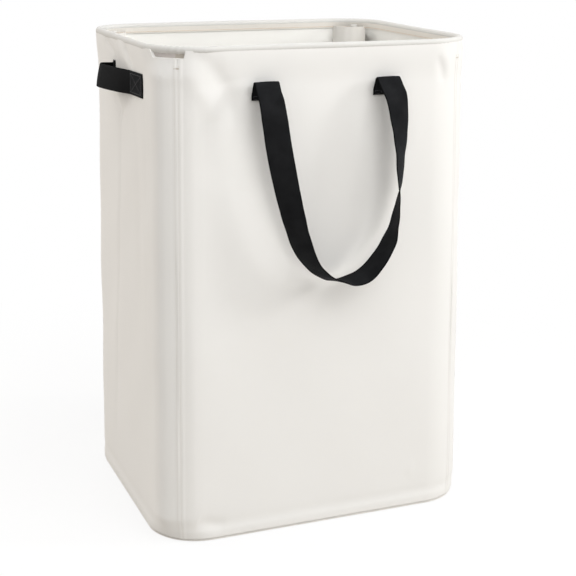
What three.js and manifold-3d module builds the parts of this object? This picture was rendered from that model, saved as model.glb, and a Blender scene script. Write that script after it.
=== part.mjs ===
import * as THREE from 'three';
import { toCreasedNormals } from 'three/addons/utils/BufferGeometryUtils.js';
import Module from 'manifold-3d';

// Overall form
const hamperHeight = 640;
const rimLoopLength = 425;
const rimLoopWidth = 353;
const rimLoopRadius = 66;
const baseLengthSpread = 23;
const baseWidthSpread = 18;
const baseRadiusSpread = 3;

// Clearances
const fitGap = 0.3;
const slideGap = 0.6;

// Cloth and board thicknesses
const wallCloth = 1.2;
const casingCloth = 1;
const sleeveCloth = 0.8;
const bottomCloth = 1.2;
const boardThickness = 3;
const boardSideGap = 0.5;

// Wire rim and the cloth casing around it
const rimWireRadius = 2.25;
const wireEndGap = 0.6;
const ferruleWall = 0.6;
const ferruleLength = 30;
const casingLegDrop = 7;
const casingHemDrop = 14;
const wallTopDrop = 4.2;

// Wall panels, as shares of each corner's quarter turn, counted from the corner's side panel
const seamShare = 0.6;
const ridgeShare = 0.5;
const ridgeFadeShare = 0.3;
const ridgeHeight = 1.2;

// Rod mouths under the rim, closed by grip tapes
const mouthStartShare = 0.3;
const mouthEndShare = 0.7;
const mouthDrop = 9.85;
const tapeThickness = 0.8;

// Corner rods with plastic end caps
const rodRadius = 4;
const rodWall = 1;
const rodSetIn = 11.2;
const rodTopDrop = 3.5;
const capHeadRadius = 5.2;
const capHeadHeight = 5;
const capEdge = 0.9;
const capStemLength = 12;

// Sleeves that hold the rods inside the corners
const sleeveStartShare = 0.1;
const sleeveEndShare = 0.9;
const sleeveTopGap = 1.5;

// Long carrying straps in front and behind
const webbingThickness = 1.6;
const webbingEdge = 0.4;
const strapWidth = 32;
const strapSpacing = 162.6;
const strapOffCentre = -1.2;
const strapDrop = 249.5;
const strapReach = 23.4;
const strapFoldBelowTop = 47.2;
const strapFoldStandOff = 11.2;
const strapTabLength = 19.6;
const strapTabSewnLength = 6;
const strapTabFoldDegrees = 58;
const strapBeadRadius = 2;

// Short grab handles at the sides
const handleWidth = 30;
const handleBelowTop = 38;
const handleReach = 18.4;
const handleFlare = 6;
const handleRearPlace = 34;
const handleFrontPlace = -61.7;
const handlePatchLength = 47;
const handleTailLength = 8;
const handleTailRise = 3.5;

// Strap route: across the spacing, down the drop, out by the reach, share of a right angle turned
const strapRouteShares = [
  [-1, 0, 0, 0],
  [-1, 0.03, 0.35, 0],
  [-0.99, 0.068, 0.62, 0.05],
  [-0.95, 0.17, 0.8, 0.1],
  [-0.885, 0.31, 0.86, 0.15],
  [-0.733, 0.56, 0.94, 0.45],
  [-0.532, 0.788, 1, 0.58],
  [-0.405, 0.875, 1, 0.72],
  [-0.262, 0.932, 1, 0.77],
  [-0.071, 0.977, 1, 0.82],
  [0.061, 0.991, 1, 0.86],
  [0.3, 1, 1, 1.1],
  [0.538, 0.979, 1, 1.24],
  [0.805, 0.89, 1, 1.14],
  [0.965, 0.799, 1, 1.04],
  [1.035, 0.72, 1, 0.935],
  [1.075, 0.607, 1, 0.83],
  [1.118, 0.529, 0.96, 0.62],
  [1.118, 0.415, 0.94, 0.49],
  [1.122, 0.311, 0.87, 0.43],
  [1.1, 0.222, 0.8, 0.31],
  [1.045, 0.082, 0.62, 0.2],
  [1, 0.03, 0.35, 0],
  [1, 0, 0, 0],
];

// Handle route seen from above: along from the rear root to the front end, out by the reach
const handleRouteShares = [
  [0, 0],
  [-0.015, 0.4],
  [-0.025, 0.76],
  [0.02, 0.96],
  [0.12, 1],
  [0.33, 0.93],
  [0.56, 0.7],
  [0.76, 0.36],
  [0.9, 0.09],
  [1, 0],
];

// Fineness of curved surfaces
const cornerSteps = 10;
const wallRows = 7;
const sleeveRows = 4;
const wireSides = 12;
const casingOuterSteps = 12;
const casingInnerSteps = 8;
const strapSteps = 96;
const handleSteps = 32;
const handleRows = 4;
const foldSteps = 6;
const roundSides = 24;
const creaseAngle = Math.PI / 5;

// Places that follow from the sizes
const casingBore = rimWireRadius + fitGap + ferruleWall + fitGap;
const casingRadius = casingBore + casingCloth;
const wireHeight = hamperHeight - casingRadius;
const wallHalf = wallCloth / 2;
const slotHalf = wallHalf + fitGap;
const wallBottom = bottomCloth + fitGap;
const wallTop = wireHeight - wallTopDrop;
const mouthBottom = wallTop - mouthDrop;
const boardBottom = bottomCloth + fitGap;
const floorTop = boardBottom + boardThickness;
const rodBottom = floorTop + fitGap;
const rodTop = wireHeight - rodTopDrop;
const sleeveTop = wireHeight - casingHemDrop - sleeveTopGap;
const sewnOffset = wallHalf + fitGap;
const strapFoldHeight = hamperHeight - strapFoldBelowTop;
const handleTopHeight = hamperHeight - handleBelowTop;
const handleBottomHeight = handleTopHeight - handleWidth;
const handleAxisOffset = sewnOffset + webbingThickness / 2;

const corners = [
  { name: 'front_left', across: -1, along: -1, start: Math.PI },
  { name: 'front_right', across: 1, along: -1, start: -Math.PI / 2 },
  { name: 'back_right', across: 1, along: 1, start: 0 },
  { name: 'back_left', across: -1, along: 1, start: Math.PI / 2 },
];

const panelNames = ['front_panel', 'right_panel', 'back_panel', 'left_panel'];

const wasm = await Module();
wasm.setup();

const mix = THREE.MathUtils.lerp;

// Half length, half width and corner radius of the wall's middle surface at a height
function outlineAt(height) {
  const rise = height / wireHeight;
  return {
    halfLength: rimLoopLength / 2 + (baseLengthSpread / 2 - wallHalf) * (1 - rise),
    halfWidth: rimLoopWidth / 2 + (baseWidthSpread / 2 - wallHalf) * (1 - rise),
    radius: rimLoopRadius + (baseRadiusSpread - wallHalf) * (1 - rise),
  };
}

// A point on one corner's arc, moved outward from the wall's middle surface by an offset
function cornerPoint(index, share, height, offset) {
  const corner = corners[index % corners.length];
  const outline = outlineAt(height);
  const angle = corner.start + share * Math.PI / 2;
  const reach = outline.radius + offset;
  return new THREE.Vector3(
    corner.across * (outline.halfLength - outline.radius) + reach * Math.cos(angle),
    corner.along * (outline.halfWidth - outline.radius) + reach * Math.sin(angle),
    height,
  );
}

// Evenly spaced shares from one value to another, both included
function sharesBetween(first, last, steps) {
  return Array.from({ length: steps + 1 }, (_, i) => mix(first, last, i / steps));
}

function addQuad(faces, a, b, c, d) {
  faces.push(a, b, c, a, c, d);
}

// Closes the end of a swept body with a strip across the ring from side to side
function addEnd(faces, first, count) {
  for (let i = 0; i < count / 2 - 1; i += 1) {
    addQuad(faces, first + i, first + i + 1, first + count - 2 - i, first + count - 1 - i);
  }
}

function signedVolume(points, faces) {
  let total = 0;
  for (let i = 0; i < faces.length; i += 3) {
    const [a, b, c] = [points[faces[i]], points[faces[i + 1]], points[faces[i + 2]]];
    total += a.dot(new THREE.Vector3().crossVectors(b, c));
  }
  return total;
}

// A closed body through a row of equal rings, with both ends closed or joined to each other
function bodyThroughRings(rings, endless) {
  const count = rings[0].length;
  const points = rings.flat();
  const faces = [];
  const spans = endless ? rings.length : rings.length - 1;
  for (let i = 0; i < spans; i += 1) {
    const here = i * count;
    const next = ((i + 1) % rings.length) * count;
    for (let j = 0; j < count; j += 1) {
      const k = (j + 1) % count;
      addQuad(faces, here + j, here + k, next + k, next + j);
    }
  }
  if (!endless) {
    const ends = [];
    addEnd(ends, 0, count);
    faces.push(...ends.reverse());
    addEnd(faces, (rings.length - 1) * count, count);
  }
  if (signedVolume(points, faces) < 0) {
    faces.reverse();
  }
  const geometry = new THREE.BufferGeometry();
  const places = new Float32Array(points.flatMap((p) => [p.x, p.y, p.z]));
  geometry.setAttribute('position', new THREE.BufferAttribute(places, 3));
  geometry.setIndex(faces);
  return geometry;
}

function toManifold(geometry) {
  return new wasm.Manifold(new wasm.Mesh({
    numProp: 3,
    vertProperties: geometry.attributes.position.array,
    triVerts: new Uint32Array(geometry.index.array),
  }));
}

// Several closed bodies made into one
function unite(geometries) {
  const whole = geometries.map(toManifold).reduce((sum, next) => sum.add(next));
  const mesh = whole.getMesh();
  const geometry = new THREE.BufferGeometry();
  geometry.setAttribute('position', new THREE.BufferAttribute(mesh.vertProperties, 3));
  geometry.setIndex(Array.from(mesh.triVerts));
  return geometry;
}

// A body turned about the upright middle axis
function turned(geometry, angle) {
  return geometry.clone().rotateZ(angle);
}

// A round body about an upright axis from a profile of radius and height pairs
function roundBody(profile) {
  const outline = profile.map(([radius, height]) => new THREE.Vector2(radius, height));
  return new THREE.LatheGeometry(outline, roundSides).rotateX(Math.PI / 2);
}

// A ring around the whole rim from a section of offset and height pairs
function rimRing(section) {
  const rings = [];
  corners.forEach((_, index) => {
    sharesBetween(0, 1, cornerSteps).forEach((share) => {
      rings.push(section.map(([offset, height]) => cornerPoint(index, share, height, offset)));
    });
  });
  return rings;
}

// Points on a circle about the rim wire, from one angle to another
function arcAboutWire(radius, from, to, steps) {
  return sharesBetween(from, to, steps).map((angle) => [
    radius * Math.cos(angle),
    wireHeight + radius * Math.sin(angle),
  ]);
}

// Keyhole section: a bore for the wire, a slot for the wall's edge, a short and a long leg
function casingSection() {
  const outerFace = slotHalf + casingCloth;
  const outerAngle = Math.asin(outerFace / casingRadius);
  const innerAngle = Math.asin(slotHalf / casingBore);
  const below = Math.PI / 2;
  return [
    [outerFace, wireHeight - casingLegDrop],
    ...arcAboutWire(casingRadius, outerAngle - below, 3 * below - outerAngle, casingOuterSteps),
    [-outerFace, wireHeight - casingHemDrop],
    [-slotHalf, wireHeight - casingHemDrop],
    ...arcAboutWire(casingBore, 3 * below - innerAngle, innerAngle - below, casingInnerSteps),
    [slotHalf, wireHeight - casingLegDrop],
  ];
}

function rimCasing() {
  return bodyThroughRings(rimRing(casingSection()), true);
}

// The wire starts and ends at the middle of the rear, inside the ferrule
function rimWire() {
  const section = arcAboutWire(rimWireRadius, 0, 2 * Math.PI, wireSides).slice(0, wireSides);
  const rings = rimRing(section);
  const split = 3 * (cornerSteps + 1);
  const route = [...rings.slice(split), ...rings.slice(0, split)];
  const leftEnd = route[0].map((p) => new THREE.Vector3(-wireEndGap / 2, p.y, p.z));
  const rightEnd = route.at(-1).map((p) => new THREE.Vector3(wireEndGap / 2, p.y, p.z));
  return bodyThroughRings([leftEnd, ...route, rightEnd], false);
}

function rimFerrule() {
  const bore = rimWireRadius + fitGap;
  const half = ferruleLength / 2;
  const outside = bore + ferruleWall;
  const profile = [[bore, -half], [outside, -half], [outside, half], [bore, half], [bore, -half]];
  return roundBody(profile).rotateY(Math.PI / 2).translate(0, rimLoopWidth / 2, wireHeight);
}

// A cloth sheet over a set of columns, each with its place, top height and outward bulge
function clothSheet(columns, rows, low, outward, inward) {
  const rings = columns.map((column) => {
    const place = (share, offset) => {
      const height = mix(low, column.top, share);
      return cornerPoint(column.corner, column.share, height, offset + column.bulge(height, share));
    };
    const upward = sharesBetween(0, 1, rows);
    const outer = upward.map((share) => place(share, outward));
    const inner = upward.map((share) => place(share, inward));
    return [...outer, ...inner.reverse()];
  });
  return bodyThroughRings(rings, false);
}

// The wall is lower inside a rod mouth and a ridge stands out along the rod
function wallColumn(corner, share) {
  const slack = 1 / cornerSteps / 2;
  const inMouth = share > mouthStartShare - slack && share < mouthEndShare + slack;
  const onRidge = Math.abs(share - ridgeShare) < slack;
  return {
    corner,
    share,
    top: inMouth ? mouthBottom : wallTop,
    bulge: (_, rise) => (onRidge ? ridgeHeight * Math.min(1, (1 - rise) / ridgeFadeShare) : 0),
  };
}

// Side panels pass the middle of both their corners, to meet the front and back panels there
function seamPlace(index) {
  return index % 2 === 0 ? seamShare : 1 - seamShare;
}

// Each panel runs from one corner's seam to the next corner's seam
function wallPanel(index) {
  const seamGapShare = fitGap / 2 / (rimLoopRadius * Math.PI / 2);
  const first = seamPlace(index);
  const last = seamPlace(index + 1);
  const fromSeam = sharesBetween(first, 1, Math.round((1 - first) * cornerSteps));
  const toSeam = sharesBetween(0, last, Math.round(last * cornerSteps));
  fromSeam[0] += seamGapShare;
  toSeam[toSeam.length - 1] -= seamGapShare;
  const columns = [
    ...fromSeam.map((share) => wallColumn(index, share)),
    ...toSeam.map((share) => wallColumn(index + 1, share)),
  ];
  return clothSheet(columns, wallRows, wallBottom, wallHalf, -wallHalf);
}

// A grip tape hangs from the casing's long leg and fills the rod mouth
function mouthTape(index) {
  const steps = Math.round((mouthEndShare - mouthStartShare) * cornerSteps);
  const columns = sharesBetween(mouthStartShare, mouthEndShare, steps).map((share) => ({
    corner: index,
    share,
    top: wallTop,
    bulge: () => 0,
  }));
  const inward = -slotHalf + fitGap;
  return clothSheet(columns, 1, mouthBottom + fitGap, inward + tapeThickness, inward);
}

// The upright axis of a corner's rod
function rodPlace(index) {
  return cornerPoint(index, ridgeShare, wireHeight, -rodSetIn);
}

// A tent of cloth across the corner, deep enough to pass around the rod and its cap
function rodSleeve(index) {
  const span = sleeveEndShare - sleeveStartShare;
  const steps = Math.round(span * cornerSteps);
  const rod = rodPlace(index);
  const depthAt = (height) => {
    const wall = cornerPoint(index, ridgeShare, height, 0);
    const away = Math.hypot(wall.x - rod.x, wall.y - rod.y);
    return away + capHeadRadius + slideGap - sewnOffset;
  };
  const columns = sharesBetween(sleeveStartShare, sleeveEndShare, steps).map((share) => ({
    corner: index,
    share,
    top: sleeveTop,
    bulge: (height) => -depthAt(height) * Math.sin(Math.PI * (share - sleeveStartShare) / span),
  }));
  return clothSheet(columns, sleeveRows, rodBottom, -sewnOffset, -sewnOffset - sleeveCloth);
}

// A level plate inside the outline, with an offset from the wall's middle surface
function levelPlate(low, high, offset) {
  const loop = (height) => corners.flatMap((_, index) => (
    sharesBetween(0, 1, cornerSteps).map((share) => cornerPoint(index, share, height, offset))
  ));
  return bodyThroughRings([loop(low), loop(high)], false);
}

function rodTube(index) {
  const place = rodPlace(index);
  const low = rodBottom + capHeadHeight + fitGap;
  const high = rodTop - capHeadHeight - fitGap;
  const bore = rodRadius - rodWall;
  const profile = [[bore, low], [rodRadius, low], [rodRadius, high], [bore, high], [bore, low]];
  return roundBody(profile).translate(place.x, place.y, 0);
}

// A plug with a chamfered head, the stem pointing up from its base
function rodCap() {
  const stemRadius = rodRadius - rodWall - fitGap;
  return roundBody([
    [0, 0],
    [capHeadRadius - capEdge, 0],
    [capHeadRadius, capEdge],
    [capHeadRadius, capHeadHeight],
    [stemRadius, capHeadHeight],
    [stemRadius, capHeadHeight + capStemLength - capEdge],
    [stemRadius - capEdge, capHeadHeight + capStemLength],
    [0, capHeadHeight + capStemLength],
  ]);
}

function rodBottomCap(index) {
  const place = rodPlace(index);
  return rodCap().translate(place.x, place.y, rodBottom);
}

function rodTopCap(index) {
  const place = rodPlace(index);
  return rodCap().rotateX(Math.PI).translate(place.x, place.y, rodTop);
}

// Webbing section: a thin band with its long edges eased
function webbingSection(width) {
  const half = width / 2;
  const face = webbingThickness / 2;
  return [
    [-half, face - webbingEdge],
    [webbingEdge - half, face],
    [half - webbingEdge, face],
    [half, face - webbingEdge],
    [half, webbingEdge - face],
    [half - webbingEdge, -face],
    [webbingEdge - half, -face],
    [-half, webbingEdge - face],
  ];
}

// Webbing along a route of points, with the direction that its face looks at each point
function webbing(route, looks, width) {
  const section = webbingSection(width);
  const rings = route.map((point, i) => {
    const before = route[Math.max(0, i - 1)];
    const after = route[Math.min(route.length - 1, i + 1)];
    const ahead = after.clone().sub(before).normalize();
    const across = new THREE.Vector3().crossVectors(ahead, looks[i]).normalize();
    const face = new THREE.Vector3().crossVectors(across, ahead);
    return section.map(([side, depth]) => (
      point.clone().addScaledVector(across, side).addScaledVector(face, depth)
    ));
  });
  return bodyThroughRings(rings, false);
}

// Where the line through both folds runs, in front of the wall
function strapAxisPlace() {
  return -outlineAt(strapFoldHeight).halfWidth - strapFoldStandOff;
}

// The strap hangs from two folds, turns over once near its lowest point and turns back
function strapLoop() {
  const axisPlace = strapAxisPlace();
  const knots = strapRouteShares.map(([across, down, out]) => new THREE.Vector3(
    strapOffCentre + across * strapSpacing / 2,
    axisPlace - out * strapReach,
    strapFoldHeight - down * strapDrop,
  ));
  const curve = new THREE.CatmullRomCurve3(knots, false, 'centripetal');
  const spans = knots.length - 1;
  const route = sharesBetween(0, 1, strapSteps).map((share) => curve.getPoint(share));
  const looks = route.map((_, i) => {
    const place = i / strapSteps;
    const knot = Math.min(spans - 1, Math.floor(place * spans));
    const part = THREE.MathUtils.smoothstep(place * spans - knot, 0, 1);
    const turn = mix(strapRouteShares[knot][3], strapRouteShares[knot + 1][3], part) * Math.PI / 2;
    const ahead = curve.getTangent(place);
    const outward = new THREE.Vector3(ahead.z, 0, -ahead.x).normalize();
    const front = new THREE.Vector3(0, -1, 0);
    return front.multiplyScalar(Math.cos(turn)).addScaledVector(outward, Math.sin(turn));
  });
  const beads = [-1, 1].map((side) => {
    const centre = strapOffCentre + side * strapSpacing / 2;
    const circle = (x) => sharesBetween(0, 2 * Math.PI, wireSides).slice(0, wireSides).map((angle) => (
      new THREE.Vector3(
        x,
        axisPlace + strapBeadRadius * Math.cos(angle),
        strapFoldHeight + strapBeadRadius * Math.sin(angle),
      )
    ));
    return bodyThroughRings([circle(centre - strapWidth / 2), circle(centre + strapWidth / 2)], false);
  });
  return unite([webbing(route, looks, strapWidth), ...beads]);
}

// The tab is sewn to the wall at its foot, leans out and curls over the strap's end
function strapTab(side) {
  const centre = strapOffCentre + side * strapSpacing / 2;
  const wallAt = (height) => -outlineAt(height).halfWidth;
  const flat = sewnOffset + webbingThickness / 2;
  const bottom = strapFoldHeight - strapTabLength;
  const sewnTop = bottom + strapTabSewnLength;
  const axisPlace = strapAxisPlace();
  const route = [
    new THREE.Vector3(centre, wallAt(bottom) - flat, bottom),
    new THREE.Vector3(centre, wallAt(sewnTop) - flat, sewnTop),
  ];
  const looks = [new THREE.Vector3(0, -1, 0), new THREE.Vector3(0, -1, 0)];
  // The leaning part touches the curl's circle where the curl starts
  const foldRadius = strapBeadRadius + fitGap + webbingThickness / 2;
  const inwardToFoot = route[1].y - axisPlace;
  const upwardToFoot = sewnTop - strapFoldHeight;
  const leanLength = Math.sqrt(inwardToFoot ** 2 + upwardToFoot ** 2 - foldRadius ** 2);
  const touch = Math.atan2(upwardToFoot, inwardToFoot) - Math.atan2(-leanLength, foldRadius);
  const turn = THREE.MathUtils.degToRad(strapTabFoldDegrees);
  sharesBetween(touch, turn, foldSteps).forEach((angle) => {
    const [inward, upward] = [Math.cos(angle), Math.sin(angle)];
    route.push(new THREE.Vector3(
      centre,
      axisPlace + foldRadius * inward,
      strapFoldHeight + foldRadius * upward,
    ));
    looks.push(new THREE.Vector3(0, -inward, -upward));
  });
  return webbing(route, looks, strapWidth);
}

// A point beside the left wall: offset from its middle surface, place along it and height
function besideLeftWall(offset, along, height) {
  return new THREE.Vector3(-outlineAt(height).halfLength - offset, along, height);
}

// A strip of webbing sewn flat on the left wall
function sewnStrip(from, to, low, high) {
  const ring = (along) => {
    const outer = sewnOffset + webbingThickness;
    return [
      besideLeftWall(sewnOffset, along, low),
      besideLeftWall(outer, along, low),
      besideLeftWall(outer, along, high),
      besideLeftWall(sewnOffset, along, high),
    ];
  };
  return bodyThroughRings([ring(from), ring(to)], false);
}

function handlePatch() {
  const start = handleFrontPlace - fitGap;
  return sewnStrip(start, start - handlePatchLength, handleBottomHeight, handleTopHeight);
}

function handleTail() {
  const start = handleRearPlace - webbingThickness / 2 - fitGap;
  const high = handleTopHeight + handleTailRise;
  return sewnStrip(start, start - handleTailLength, handleBottomHeight, high);
}

// The band leaves the wall straight at the rear, bends and runs back to the wall in front
function handleBand() {
  const knots = handleRouteShares.map(([along, out]) => new THREE.Vector3(
    out * handleReach,
    mix(handleRearPlace, handleFrontPlace, along),
    0,
  ));
  const curve = new THREE.CatmullRomCurve3(knots, false, 'centripetal');
  const rings = sharesBetween(0, 1, handleSteps).map((share) => {
    const point = curve.getPoint(share);
    const ahead = curve.getTangent(share);
    const atEnd = share === 0 || share === 1;
    const sideways = atEnd ? new THREE.Vector3(0, 1, 0) : new THREE.Vector3(ahead.y, -ahead.x, 0);
    const face = share === 1 ? new THREE.Vector3(1, 0, 0) : sideways;
    const edge = (part, depth) => {
      const flare = handleFlare * (1 - part) * Math.sin(Math.PI * share);
      return besideLeftWall(
        Math.max(sewnOffset, handleAxisOffset + flare + point.x + depth * face.x),
        point.y + depth * face.y,
        mix(handleBottomHeight, handleTopHeight, part),
      );
    };
    const half = webbingThickness / 2;
    const outer = sharesBetween(0, 1, handleRows).map((part) => edge(part, -half));
    const inner = sharesBetween(0, 1, handleRows).map((part) => edge(part, half));
    return [...outer, ...inner.reverse()];
  });
  return bodyThroughRings(rings, false);
}

// Materials
const clothWhite = new THREE.MeshStandardMaterial({ color: '#efece6', roughness: 0.92, metalness: 0 });
const clothInner = new THREE.MeshStandardMaterial({ color: '#e9e7e2', roughness: 0.94, metalness: 0 });
const webbingBlack = new THREE.MeshStandardMaterial({ color: '#2d3037', roughness: 0.7, metalness: 0 });
const tapeGrey = new THREE.MeshStandardMaterial({ color: '#5c5d60', roughness: 0.95, metalness: 0 });
const boardGrey = new THREE.MeshStandardMaterial({ color: '#d9d5cb', roughness: 0.85, metalness: 0 });
const wireSteel = new THREE.MeshStandardMaterial({ color: '#a9adb0', roughness: 0.35, metalness: 0.9 });
const rodWhite = new THREE.MeshStandardMaterial({ color: '#e4e4df', roughness: 0.45, metalness: 0 });
const capGrey = new THREE.MeshStandardMaterial({ color: '#8d9093', roughness: 0.55, metalness: 0 });

const hamper = new THREE.Group();
hamper.name = 'pop_up_laundry_hamper';

function addPiece(name, geometry, material) {
  const mesh = new THREE.Mesh(toCreasedNormals(geometry, creaseAngle), material.clone());
  mesh.name = name;
  hamper.add(mesh);
}

addPiece('bottom_panel', levelPlate(0, bottomCloth, wallHalf), clothWhite);
addPiece('base_board', levelPlate(boardBottom, floorTop, -wallHalf - boardSideGap), boardGrey);
panelNames.forEach((name, index) => addPiece(name, wallPanel(index), clothWhite));
addPiece('rim_wire', rimWire(), wireSteel);
addPiece('rim_ferrule', rimFerrule(), wireSteel);
addPiece('rim_casing', rimCasing(), clothWhite);

corners.forEach((corner, index) => {
  addPiece(`${corner.name}_mouth_tape`, mouthTape(index), tapeGrey);
  addPiece(`${corner.name}_rod_sleeve`, rodSleeve(index), clothInner);
  addPiece(`${corner.name}_rod_tube`, rodTube(index), rodWhite);
  addPiece(`${corner.name}_rod_bottom_cap`, rodBottomCap(index), capGrey);
  addPiece(`${corner.name}_rod_top_cap`, rodTopCap(index), capGrey);
});

[['front', 0], ['rear', Math.PI]].forEach(([name, angle]) => {
  addPiece(`${name}_strap_left_tab`, turned(strapTab(-1), angle), webbingBlack);
  addPiece(`${name}_strap_right_tab`, turned(strapTab(1), angle), webbingBlack);
  addPiece(`${name}_strap_loop`, turned(strapLoop(), angle), webbingBlack);
});

[['left', 0], ['right', Math.PI]].forEach(([name, angle]) => {
  addPiece(`${name}_handle_sewn_patch`, turned(handlePatch(), angle), webbingBlack);
  addPiece(`${name}_handle_sewn_tail`, turned(handleTail(), angle), webbingBlack);
  addPiece(`${name}_handle_band`, turned(handleBand(), angle), webbingBlack);
});

export default hamper;
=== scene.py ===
import math

import bpy
import numpy as np
from mathutils import Matrix, Vector


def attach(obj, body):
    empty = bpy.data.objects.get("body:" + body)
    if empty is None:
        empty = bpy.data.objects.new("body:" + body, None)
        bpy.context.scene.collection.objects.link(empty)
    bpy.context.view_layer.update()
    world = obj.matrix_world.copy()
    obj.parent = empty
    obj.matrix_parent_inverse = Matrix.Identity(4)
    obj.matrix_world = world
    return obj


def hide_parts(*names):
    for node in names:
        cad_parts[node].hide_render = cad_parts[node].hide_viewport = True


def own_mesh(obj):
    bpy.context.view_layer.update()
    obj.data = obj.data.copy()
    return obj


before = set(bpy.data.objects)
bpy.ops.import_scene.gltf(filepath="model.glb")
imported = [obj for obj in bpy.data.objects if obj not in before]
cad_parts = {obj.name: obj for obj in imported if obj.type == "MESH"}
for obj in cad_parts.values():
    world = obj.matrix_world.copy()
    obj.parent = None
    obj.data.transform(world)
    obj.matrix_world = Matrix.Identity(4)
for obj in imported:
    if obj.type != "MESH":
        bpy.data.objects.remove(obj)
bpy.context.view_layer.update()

# Lengths are in metres, in the frame of the solids: +Z up, the front towards -Y.

hamper = dict(
    rimHalfLength=0.2125,
    rimHalfWidth=0.1765,
    rimCorner=0.066,
    baseHalfLength=0.2234,
    baseHalfWidth=0.1849,
    baseCorner=0.0684,
    wireHeight=0.63555,
    wallBottom=0.0015,
    wallTop=0.63135,
    cloth=0.0012,
    seamShare=0.6,
    collapse=0.55,
)

cornerNames = ["front_left", "front_right", "back_right", "back_left"]
cornerAcross = np.array([-1.0, 1.0, 1.0, -1.0])
cornerAlong = np.array([-1.0, -1.0, 1.0, 1.0])
cornerStart = np.array([math.pi, -math.pi / 2, 0.0, math.pi / 2])


def say(stage):
    print("stage:", stage, flush=True)


cameraView = dict(
    lens=80.78,
    azimuth=-21.7,
    elevation=16.1,
    roll=0.3,
    distance=1.851,
    target=(0.0216, 0.0, 0.2766),
)


def directionTo(azimuth, elevation):
    # The unit vector from the hamper towards an azimuth and an elevation, both in degrees.
    azimuth, elevation = math.radians(azimuth), math.radians(elevation)
    return Vector((
        math.sin(azimuth) * math.cos(elevation),
        -math.cos(azimuth) * math.cos(elevation),
        math.sin(elevation),
    ))


def makeCamera(view):
    # It looks against back, and its upper side leans by the roll.
    back = directionTo(view["azimuth"], view["elevation"])
    roll = math.radians(view["roll"])
    right = (-back).cross(Vector((0, 0, 1))).normalized()
    up = right.cross(-back)
    across = right * math.cos(roll) + up * math.sin(roll)
    upward = up * math.cos(roll) - right * math.sin(roll)
    data = bpy.data.cameras.new("camera")
    data.lens = view["lens"]
    data.sensor_width = 36
    data.clip_start = 0.05
    data.clip_end = 60
    camera = bpy.data.objects.new("camera", data)
    turn = Matrix((across, upward, back)).transposed().to_4x4()
    camera.matrix_world = Matrix.Translation(Vector(view["target"]) + back * view["distance"]) @ turn
    bpy.context.scene.collection.objects.link(camera)
    bpy.context.scene.camera = camera


makeCamera(cameraView)
say("camera")


def mix(a, b, share):
    # A straight blend: a at share 0 and b at share 1.
    return a + (b - a) * share


def smooth(x, low, high):
    # 3 t^2 - 2 t^3, where t runs from 0 at low to 1 at high.
    t = np.clip((x - low) / (high - low), 0, 1)
    return t * t * (3 - 2 * t)


def bell(x, centre, width):
    # exp(-d^2), where d is the distance from the centre over the width.
    return np.exp(-(((x - centre) / width) ** 2))


def eased(x, marks, values):
    # Runs through the values at the marks, level at each of them.
    x = np.clip(x, marks[0], marks[-1])
    i = np.clip(np.searchsorted(marks, x, side="right") - 1, 0, len(marks) - 2)
    return mix(values[i], values[i + 1], smooth((x - marks[i]) / (marks[i + 1] - marks[i]), 0, 1))


def unit(v):
    # Each vector over its own length.
    return v / np.maximum(np.linalg.norm(v, axis=-1, keepdims=True), 1e-12)


def outline(z):
    # Half length, half width and corner radius of the wall's middle surface at a height.
    rise = z / hamper["wireHeight"]
    return (
        mix(hamper["baseHalfLength"], hamper["rimHalfLength"], rise),
        mix(hamper["baseHalfWidth"], hamper["rimHalfWidth"], rise),
        mix(hamper["baseCorner"], hamper["rimCorner"], rise),
    )


def onWall(turn, z, offset):
    # A point on the wall at a turn and a height, moved outward by an offset. Turns 0, 2, 4 and 6
    # start the corner arcs, and 1, 3, 5 and 7 the flat sides: front, right, back and left.
    turn, z, offset = np.broadcast_arrays(turn, z, offset)
    part = np.floor(turn + 1e-9).astype(int)
    share = turn - part
    corner = (part // 2) % 4
    after = (corner + 1) % 4
    flat = part % 2
    angle = cornerStart[corner] + np.where(flat == 1, 1.0, share) * math.pi / 2
    length, width, radius = outline(z)
    slide = flat * share
    reach = radius + offset
    x = (length - radius) * mix(cornerAcross[corner], cornerAcross[after], slide)
    y = (width - radius) * mix(cornerAlong[corner], cornerAlong[after], slide)
    return np.stack([x + reach * np.cos(angle), y + reach * np.sin(angle), z + 0 * x], axis=-1)


def partLengths():
    # The arcs and flat sides in turn, at half the height.
    length, width, radius = outline(hamper["wireHeight"] / 2)
    arc = radius * math.pi / 2
    return np.array([arc, 2 * (length - radius), arc, 2 * (width - radius)] * 2)


turnMarks = np.arange(17)
metreMarks = np.concatenate([[0], np.cumsum(np.tile(partLengths(), 2))])


def metresAt(turn):
    # The way round the wall to a turn, and below it the turn at a way round.
    return np.interp(turn, turnMarks, metreMarks)


def turnAt(metres):
    return np.interp(metres, metreMarks, turnMarks)


def seamTurn(corner):
    # The side panels pass the middle of both their corners, where the front and back panels start.
    return 2 * corner + (hamper["seamShare"] if corner % 2 == 0 else 1 - hamper["seamShare"])


def flipped(faces):
    # The same faces seen from their other side.
    return faces[:, ::-1]


def gridFaces(rows, columns, first=0, closeColumns=False):
    # Quads over a grid of points numbered row by row.
    c = np.arange(columns if closeColumns else columns - 1)
    r, c = (a.ravel() for a in np.meshgrid(np.arange(rows - 1), c, indexing="ij"))
    rn, cn = r + 1, (c + 1) % columns
    return first + np.stack([r * columns + c, r * columns + cn, rn * columns + cn, rn * columns + c], 1)


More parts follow.
